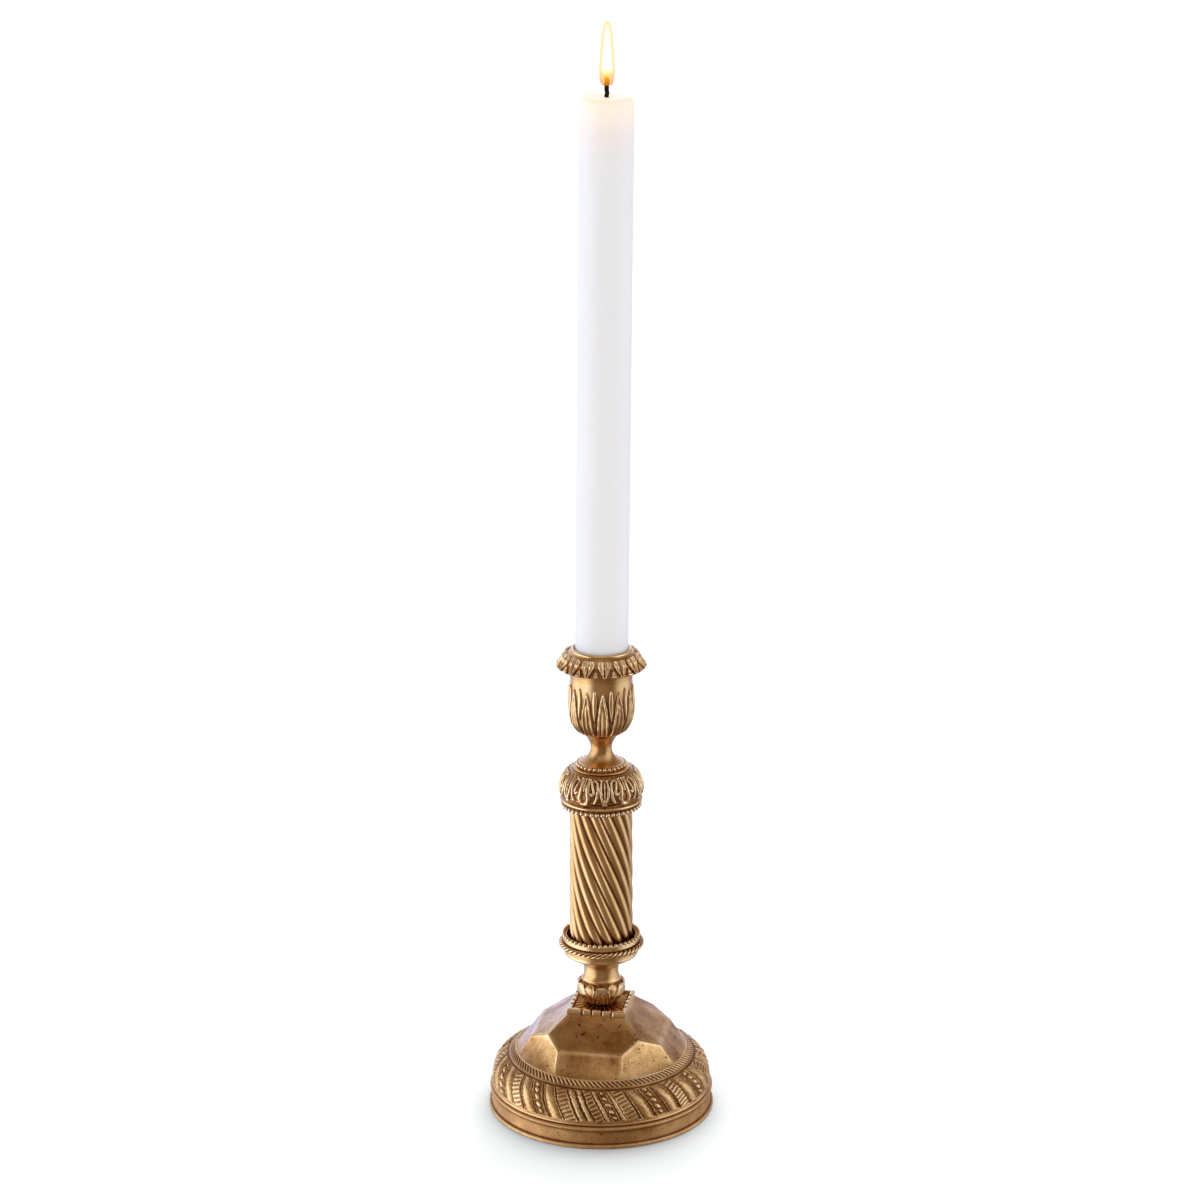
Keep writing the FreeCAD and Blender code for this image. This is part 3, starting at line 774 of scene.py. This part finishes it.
def foot_band():
    """Plain band with a rounded top edge, and a foot lip set off by a groove."""
    return turned(
        (45.4, 9.6),
        ([(46.9, 9.6)], 1, -0.9),
        ([(47.5, 9.45), (47.95, 9.0), (47.9, 8.4), (47.5, 7.95)], 10),
        ([(47.4, 7.7), (47.4, 2.4)], 14),
        ([(47.35, 2.1), (47.55, 1.85)], 3, -1.0),
        ([(48.1, 1.75), (48.4, 1.3), (48.4, 0.5), (48.1, 0.05)], 10),
        ([(47.8, 0.0), (45.4, 0.0)], 3),
        ([(45.4, 9.6)], 3),
        columns=512, reach=0.08)


# ---- candle ----

def lean_candle(shape):
    """Tips a shape that stands on the candle's foot about the edge it rests on."""
    turn = math.radians(CANDLE_LEAN)
    x, z = shape.points[:, 0].copy(), shape.points[:, 2].copy()
    shape.points[:, 0] = x * math.cos(turn) + z * math.sin(turn)
    shape.points[:, 2] = z * math.cos(turn) - x * math.sin(turn) + CANDLE_FOOT_R * math.sin(turn)
    return shape


def candle_wax():
    """Wax with a rounded shoulder and a faint melt pool round the wick."""
    top, hole = CANDLE_LENGTH, WICK_R + 0.05
    return turned(
        (hole, top - 0.4),
        ([(2.5, top - 0.4), (5.5, top - 0.2), (8.4, top)], 14),
        ([(9.5, top - 0.2), (10.3, top - 0.85), (10.8, top - 1.9), (11.1, top - 3.4)], 14),
        ([(CANDLE_R, 4.0)], 40),
        ([(CANDLE_R, 0.4), (CANDLE_FOOT_R, 0.0)], 3),
        ([(hole, 0.0)], 3),
        ([(hole, top - 0.4)], 4),
        columns=128, reach=0.5)


def candle_wick():
    """Braided wick, charred and slightly kinked above the wax."""
    columns, rows = 24, 90
    top = CANDLE_LENGTH + WICK_HEIGHT
    angle = around(columns)
    height = np.concatenate([[top, top, top - 0.18, top - 0.5],
                             np.linspace(top - 0.6, CANDLE_LENGTH - 1.0, rows), [0.5, 0.5]])[:, None]
    braid = 0.07 * np.cos(np.radians(3 * angle) + 2.6 * height)
    size = np.concatenate([[0.0, 0.60, 0.80, 0.88], np.full(rows, 0.90), [0.6, 0.0]])[:, None]
    shape = ring_shape(angle, size * (1 + braid), height, reach=0.05)
    above = np.clip(shape.points[:, 2] - CANDLE_LENGTH, 0, None)
    shape.points[:, 0] += 0.10 * np.sin(above * 1.3) * ease(0.3, 1.5, above)
    shape.points[:, 1] += 0.08 * np.sin(above * 0.9) * ease(0.3, 1.5, above)
    return shape


def flame_shell():
    """Flame's outer veil, open round the wick below."""
    base, top = CANDLE_LENGTH, CANDLE_LENGTH + FLAME_TOP
    return turned(
        (0, top),
        ([(0.75, top - 0.2), (1.45, top - 1.4), (2.25, base + 24.0), (2.82, base + 18.0),
          (3.1, base + 12.5), (3.15, base + 9.5), (2.95, base + 6.8), (2.45, base + 5.0),
          (1.95, base + FLAME_BOTTOM)], 60),
        ([(1.5, base + 4.5), (1.15, base + 5.4), (1.0, base + 6.8), (0.6, base + 7.9),
          (0, base + 8.1)], 16),
        columns=48, reach=1.0)


def flame_core():
    """Flame's bright body above the wick."""
    base, top = CANDLE_LENGTH, CANDLE_LENGTH + FLAME_TOP
    return turned(
        (0, top - 1.8),
        ([(0.45, top - 2.2), (1.1, base + 24.0), (1.6, base + 18.0), (2.0, base + 12.5),
          (2.1, base + 10.6), (1.75, base + 9.2), (0.9, base + 8.5), (0, base + 8.35)], 48),
        columns=40, reach=1.0)


# ---- finishes ----

class Nodes:
    """Node tree of a material or a world, with short ways to add nodes to it."""

    def __init__(self, owner):
        owner.use_nodes = True
        self.nodes = owner.node_tree.nodes
        self.links = owner.node_tree.links

    def feed(self, socket, value):
        """Links a node's output to a socket, or sets the socket to a plain value."""
        if isinstance(value, bpy.types.NodeSocket):
            self.links.new(value, socket)
        else:
            socket.default_value = value

    def node(self, kind, inputs, **settings):
        """New node with its settings made and its inputs fed, by name or number."""
        made = self.nodes.new(kind)
        for key, value in settings.items():
            setattr(made, key, value)
        for key, value in inputs.items():
            self.feed(made.inputs[key], value)
        return made

    def place(self, kind="Object"):
        return self.node("ShaderNodeTexCoord", {}).outputs[kind]

    def noise(self, scale, detail=3.0, roughness=0.55):
        inputs = {"Vector": self.place(), "Scale": scale, "Detail": detail, "Roughness": roughness}
        return self.node("ShaderNodeTexNoise", inputs).outputs["Fac"]

    def math(self, operation, *values):
        return self.node("ShaderNodeMath", dict(enumerate(values)), operation=operation).outputs[0]

    def sum(self, *terms):
        """Weighted sum of (output, weight) terms, and of plain numbers."""
        total = None
        for term in terms:
            if not isinstance(term, tuple):
                total = self.math("ADD", total, term)
            elif total is None:
                total = self.math("MULTIPLY", *term)
            else:
                total = self.math("MULTIPLY_ADD", *term, total)
        return total

    def ramp(self, factor, stops):
        made = self.node("ShaderNodeValToRGB", {"Fac": factor})
        elements = made.color_ramp.elements
        while len(elements) < len(stops):
            elements.new(0.5)
        for element, (place, colour) in zip(elements, stops):
            element.position = place
            element.color = (*colour, 1.0)
        return made.outputs["Color"]

    def spread(self, factor, low, high, to_low, to_high, kind="LINEAR"):
        inputs = {"Value": factor, "From Min": low, "From Max": high, "To Min": to_low,
                  "To Max": to_high}
        return self.node("ShaderNodeMapRange", inputs, interpolation_type=kind).outputs["Result"]

    def rise(self, low, high):
        """0 below one height and 1 above another, both in metres."""
        split = self.node("ShaderNodeSeparateXYZ", {"Vector": self.place()})
        return self.spread(split.outputs["Z"], low, high, 0.0, 1.0)


class Finish(Nodes):
    """Material with a Principled shader."""

    def __init__(self, name):
        self.material = bpy.data.materials.new(name)
        super().__init__(self.material)
        self.shader = self.nodes["Principled BSDF"]

    def set(self, socket, value):
        self.feed(self.shader.inputs[socket], value)

    def bump(self, height, strength, distance):
        inputs = {"Height": height, "Strength": strength, "Distance": distance}
        self.set("Normal", self.node("ShaderNodeBump", inputs).outputs["Normal"])


UNLIT = (0.0, 0.0, 0.0)
BRASS_STOPS = [(0.0, (0.050, 0.016, 0.006)), (0.30, (0.31, 0.120, 0.028)),
               (0.52, (0.63, 0.325, 0.095)), (0.75, (0.80, 0.515, 0.215)), (1.0, (0.93, 0.68, 0.36))]


def brass(name, wear_and_shade=0.30, level=0.54, pits=0.0, roughness=(0.38, 0.20), tarnish=0.16, waves=0.0):
    """Aged brass: bright where it stands proud, brown in recesses from patina and painted shade,
    clouded and faintly scratched.
    """
    finish = Finish(name)
    # The relief attribute holds each piece's tone: wear, patina and painted shade in recesses and under
    # overhangs.
    relief = finish.node("ShaderNodeAttribute", {}, attribute_name="relief").outputs["Fac"]
    clouds = finish.noise(95.0, 4.0, 0.6)
    grain = finish.noise(900.0, 3.0, 0.6)
    patina_and_shade = finish.sum((relief, wear_and_shade), (clouds, 2 * tarnish), (grain, 0.10),
                        level - tarnish - 0.05)
    height = finish.sum((grain, 1.0), (finish.noise(230.0, 2.0, 0.5), waves))
    if pits:
        cells = finish.node("ShaderNodeTexVoronoi", {"Vector": finish.place(), "Scale": 560.0})
        rare = finish.spread(finish.noise(240.0, 2.0, 0.5), 0.50, 0.70, 0.0, 0.42)
        hole = finish.math("SUBTRACT", rare, cells.outputs["Distance"])
        hole = finish.math("MULTIPLY", finish.math("MAXIMUM", hole, 0.0), 5.0)
        hole = finish.math("MINIMUM", hole, 1.0)
        specks = finish.spread(finish.noise(1300.0, 2.0, 0.6), 0.60, 0.72, 0.0, 1.0)
        stains = finish.spread(finish.noise(170.0, 6.0, 0.75), 0.57, 0.68, 0.0, 1.0)
        patina_and_shade = finish.sum((hole, -pits), (specks, -0.5 * pits), (stains, -0.35 * pits), (patina_and_shade, 1.0))
        height = finish.sum((hole, -1.5), (height, 1.0))
    finish.set("Base Color", finish.ramp(patina_and_shade, BRASS_STOPS))
    finish.set("Metallic", 1.0)
    finish.set("Roughness", finish.spread(patina_and_shade, 0.2, 0.8, *roughness))
    finish.bump(height, 0.35, 0.00012)
    return finish.material


def steel(name, colour, roughness):
    """Plated steel, faintly turned."""
    finish = Finish(name)
    grain = finish.noise(700.0, 3.0, 0.6)
    dark = tuple(0.7 * part for part in colour)
    finish.set("Base Color", finish.ramp(grain, [(0.3, dark), (0.7, colour)]))
    finish.set("Metallic", 1.0)
    finish.set("Roughness", finish.spread(grain, 0.3, 0.7, roughness - 0.06, roughness + 0.08))
    finish.bump(grain, 0.2, 0.00008)
    return finish.material


def wax():
    """White wax, warm and glowing at the top where the flame lights it from within."""
    finish = Finish("wax")
    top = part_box("candle_wax")[1].z
    glow = finish.rise(top - 34 * MM, top - 1 * MM)
    clouds = finish.noise(60.0, 3.0, 0.5)
    glow = finish.math("MULTIPLY", glow, glow)
    tone = finish.sum((glow, 0.8), (clouds, 0.12))
    finish.set("Base Color", finish.ramp(tone, [
        (0.0, (0.86, 0.845, 0.845)), (0.35, (0.88, 0.80, 0.79)), (0.80, (0.93, 0.84, 0.74))]))
    finish.set("Roughness", finish.spread(clouds, 0.3, 0.7, 0.38, 0.48))
    finish.set("Subsurface Weight", 0.35)
    finish.set("Subsurface Radius", (1.0, 0.75, 0.6))
    finish.set("Subsurface Scale", 0.004)
    finish.set("Emission Color", finish.ramp(glow, [(0.0, UNLIT), (1.0, (0.20, 0.12, 0.04))]))
    finish.set("Emission Strength", 1.0)
    finish.bump(clouds, 0.08, 0.0003)
    return finish.material


def char():
    """Charred cotton, with an ember at the tip."""
    finish = Finish("wick")
    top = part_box("candle_wick")[1].z
    ember = finish.rise(top - 2.8 * MM, top - 0.4 * MM)
    fibres = finish.noise(2500.0, 3.0, 0.7)
    finish.set("Base Color", finish.ramp(fibres, [
        (0.3, (0.003, 0.002, 0.002)), (0.8, (0.02, 0.014, 0.012))]))
    finish.set("Roughness", finish.spread(fibres, 0.2, 0.8, 0.75, 0.95))
    finish.set("Specular IOR Level", 0.1)
    finish.set("Emission Color", finish.ramp(ember, [(0.0, UNLIT), (1.0, (0.42, 0.09, 0.02))]))
    finish.set("Emission Strength", 1.0)
    finish.bump(fibres, 0.5, 0.0002)
    return finish.material


def glowing(name, stops, strength, veil=None):
    """Light given off, coloured by height, and as opaque at its foot and half way up as veil says."""
    finish = Finish(name)
    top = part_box("candle_wax")[1].z
    rise = finish.rise(top + FLAME_BOTTOM * MM, top + FLAME_TOP * MM)
    finish.set("Base Color", (*UNLIT, 1.0))
    finish.set("Roughness", 1.0)
    finish.set("Specular IOR Level", 0.0)
    finish.set("Emission Color", finish.ramp(rise, stops))
    finish.set("Emission Strength", strength)
    if veil:
        finish.set("Alpha", finish.spread(rise, 0.0, 0.5, *veil))
    return finish.material


# ---- stage ----

def floor():
    """Plain pale floor."""
    reach = 9.0
    mesh = bpy.data.meshes.new("floor")
    corners = [(-reach, -reach, 0), (reach, -reach, 0), (reach, reach, 0), (-reach, reach, 0)]
    mesh.from_pydata(corners, [], [(0, 1, 2, 3)])
    finish = Finish("floor")
    grain = finish.noise(3.0, 2.0, 0.5)
    finish.set("Base Color", finish.ramp(grain, [(0.0, 3 * (0.90,)), (1.0, 3 * (0.92,))]))
    finish.set("Roughness", 0.9)
    finish.set("Specular IOR Level", 0.1)
    mesh.materials.append(finish.material)
    piece = placed("floor", mesh)
    piece.visible_glossy = False


def heading(beside, rise):
    """Direction seen from the object: degrees right of the camera, and degrees up."""
    turn = math.radians(VIEW_AZIMUTH - 90.0 + beside)
    lift = math.radians(rise)
    return Vector((math.cos(turn) * math.cos(lift), math.sin(turn) * math.cos(lift), math.sin(lift)))


def studio():
    """White surroundings for the camera; for brass, cool soft boxes in a warm, dim room."""
    dim, warm, cool = 0.24, (1.0, 0.74, 0.56), (0.90, 1.10, 1.70)
    world = bpy.data.worlds.new("studio")
    bpy.context.scene.world = world
    tree = Nodes(world)
    tree.nodes.clear()
    place = tree.place("Generated")
    light = dim
    for beside, rise, outer, inner, strength in (
            (-82, -13, 54, 22, 1.75),
            (90, -10, 44, 14, 0.95),
            (-115, 30, 40, 10, 0.30),
            (70, 28, 36, 10, 0.95),
            (-160, 0, 60, 10, 0.65),
            (160, 0, 60, 10, 0.35),
            (0, -18, 36, 4, 0.12),
            (0, 52, 45, 10, 0.36)):
        towards = tree.node("ShaderNodeVectorMath", {0: place, 1: heading(beside, rise)},
                            operation="DOT_PRODUCT")
        edge, middle = math.cos(math.radians(outer)), math.cos(math.radians(inner))
        box = tree.spread(towards.outputs["Value"], edge, middle, 0.0, strength, "SMOOTHSTEP")
        light = tree.math("ADD", box, light)
    tint = tree.ramp(light, [(0.0, warm), (1.0, cool)])
    ray = tree.node("ShaderNodeLightPath", {}).outputs
    before_diffuse = tree.math("LESS_THAN", ray["Diffuse Depth"], 0.5)
    boxes_seen = tree.math("MULTIPLY", light, before_diffuse)

    def background(colour, strength):
        return tree.node("ShaderNodeBackground", {"Color": colour, "Strength": strength}).outputs[0]

    seen = background((0.97, 0.99, 1.0, 1.0), 0.80)
    for test, shown in ((ray["Is Glossy Ray"], background(tint, boxes_seen)),
                        (ray["Is Camera Ray"], background((1.0, 1.0, 1.0, 1.0), 1.0))):
        seen = tree.node("ShaderNodeMixShader", {"Fac": test, 1: seen, 2: shown}).outputs[0]
    tree.node("ShaderNodeOutputWorld", {"Surface": seen})


def sun(name, energy, spread, beside, rise):
    """Soft light from a direction, which reflections don't show."""
    data = bpy.data.lights.new(name, "SUN")
    data.energy = energy
    data.angle = math.radians(spread)
    lamp = placed(name, data)
    lamp.rotation_euler = heading(beside, rise).to_track_quat("Z", "Y").to_euler()
    lamp.visible_glossy = False
    return lamp


def spare(lamp, piece):
    """Keeps a lamp's light off a piece, which still throws the lamp's shadow."""
    spared = bpy.data.collections.new("spared")
    spared.objects.link(piece)
    spared.collection_objects[0].light_linking.link_state = "EXCLUDE"
    lamp.light_linking.receiver_collection = spared


def lamps(candle):
    """Soft light from above, a weaker one from the left, and the flame's own light."""
    spare(sun("overhead", 2.0, 60, 174, 50), candle)
    sun("left_box", 0.40, 50, -100, 8)
    flame = bpy.data.lights.new("flame_light", "POINT")
    flame.energy = 0.0025
    flame.color = (1.0, 0.60, 0.26)
    flame.shadow_soft_size = 3 * MM
    wick_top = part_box("candle_wick")[1]
    placed("flame_light", flame).location = (wick_top.x, 0.0, wick_top.z + 10 * MM)


def camera():
    """Camera at the object's usual viewing angle, a little above it."""
    data = bpy.data.cameras.new("camera")
    data.lens = VIEW_LENS
    data.sensor_width = 36.0
    data.clip_end = 50.0
    seen = placed("camera", data)
    turn = math.radians(VIEW_AZIMUTH)
    seen.location = (VIEW_DISTANCE * math.sin(turn), -VIEW_DISTANCE * math.cos(turn), VIEW_HEIGHT)
    seen.rotation_euler = (math.radians(90 - VIEW_PITCH), 0, math.radians(VIEW_AZIMUTH + VIEW_PAN))
    bpy.context.scene.camera = seen
    bpy.context.scene.view_settings.view_transform = "Standard"


# ---- the whole candlestick ----

def paint(node, material):
    """Gives a carried-over CAD node its finish."""
    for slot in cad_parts[node].material_slots:
        slot.material = material


def build():
    """Makes every piece, paints the CAD nodes that stay, and gives back the candle."""
    ornament = brass("ornament_brass", wear_and_shade=0.36, level=0.57, waves=0.8)
    plain = brass("plain_brass", wear_and_shade=0.25, level=0.57, tarnish=0.10)
    fluted = brass("fluted_brass", wear_and_shade=0.30, level=0.52)
    pitted = brass("pitted_brass", wear_and_shade=0.26, level=0.48, pits=0.50, tarnish=0.34, waves=2.6)
    border = brass("border_brass", wear_and_shade=0.34, level=0.46, tarnish=0.20, waves=2.5,
                   roughness=(0.54, 0.34))
    banded = brass("band_brass", wear_and_shade=0.22, level=0.43, pits=0.30, tarnish=0.20, waves=1.5,
                   roughness=(0.68, 0.50))
    zinc = steel("steel", (0.55, 0.55, 0.57), 0.34)

    finishes = {"ornament_brass": ornament, "plain_brass": plain, "fluted_brass": fluted}
    stick = "candlestick"
    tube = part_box("nozzle_tube")
    socket = nozzle_tube((tube[1].z - tube[0].z) / MM)
    for name, shape, body, node, slot in (
            ("socket", socket, "nozzle", "nozzle_tube", "plain_brass"),
            ("drip_pan_leaves", drip_pan(), "nozzle", "drip_pan", "ornament_brass"),
            ("urn", candle_cup(), stick, "candle_cup", "ornament_brass"),
            ("waisted_stem", cup_stem(), stick, "cup_stem", "plain_brass"),
            ("palmette_capital", capital(), stick, "capital", "ornament_brass"),
            ("pearls", pearl_ring(), stick, "capital_pearl_ring", "ornament_brass"),
            ("twisted_column", column(), stick, "column", "fluted_brass"),
            ("collar", column_cup(), stick, "column_cup", "plain_brass"),
            ("spool", lower_stem(), stick, "lower_stem", "plain_brass"),
            ("petal_knop", leaf_knop(), stick, "leaf_knop", "ornament_brass"),
            ("lobed_plinth", square_plinth(), stick, "square_plinth", "ornament_brass")):
        make_piece(name, shape, body, [node], finishes[slot], bottom_of(node))
    surface = bottom_of("foot_band")
    make_piece("foot_ring", foot_band(), stick, ["foot_band"], banded, surface)

    rope_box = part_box("rope_ring")
    make_piece("rope", rope_ring(), stick, ["rope_ring"], ornament,
               0.5 * (rope_box[0].z + rope_box[1].z) / MM)
    make_piece("base_dome", faceted_dome(), stick, ["base_casting"], pitted, surface)
    make_piece("base_border", base_border(), stick, ["base_casting"], border, surface)

    candle_foot = bottom_of("candle_wax")
    candle = make_piece("candle", lean_candle(candle_wax()), "candle", ["candle_wax"], wax(),
                        candle_foot)
    make_piece("wick", lean_candle(candle_wick()), "candle", ["candle_wick"], char(),
               candle_foot)
    veil = glowing("flame_veil", [
        (0.0, (0.78, 0.20, 0.0)), (0.12, (1.0, 0.50, 0.0)), (0.28, (1.0, 0.78, 0.26)),
        (1.0, (1.0, 0.82, 0.36))], strength=1.0, veil=(0.46, 0.54))
    body = glowing("flame_body", [
        (0.16, (1.0, 0.62, 0.10)), (0.20, (1.0, 0.88, 0.42)), (0.27, (1.0, 1.0, 0.92)),
        (0.45, (1.0, 1.0, 1.0)), (0.8, (1.0, 1.0, 0.92)), (1.0, (1.0, 0.98, 0.70))], strength=1.9)
    for name, shape, material in (("flame_outer", flame_shell(), veil),
                                  ("flame_inner", flame_core(), body)):
        flame = make_piece(name, lean_candle(shape), "candle", [], material, candle_foot)
        flame.visible_shadow = False

    for node in ("upper_centring_disc", "lower_centring_disc"):
        paint(node, plain)
    for node in ("tie_rod", "rod_washer", "lock_washer", "rod_nut"):
        paint(node, zinc)
    return candle


camera()
floor()
studio()
lamps(build())
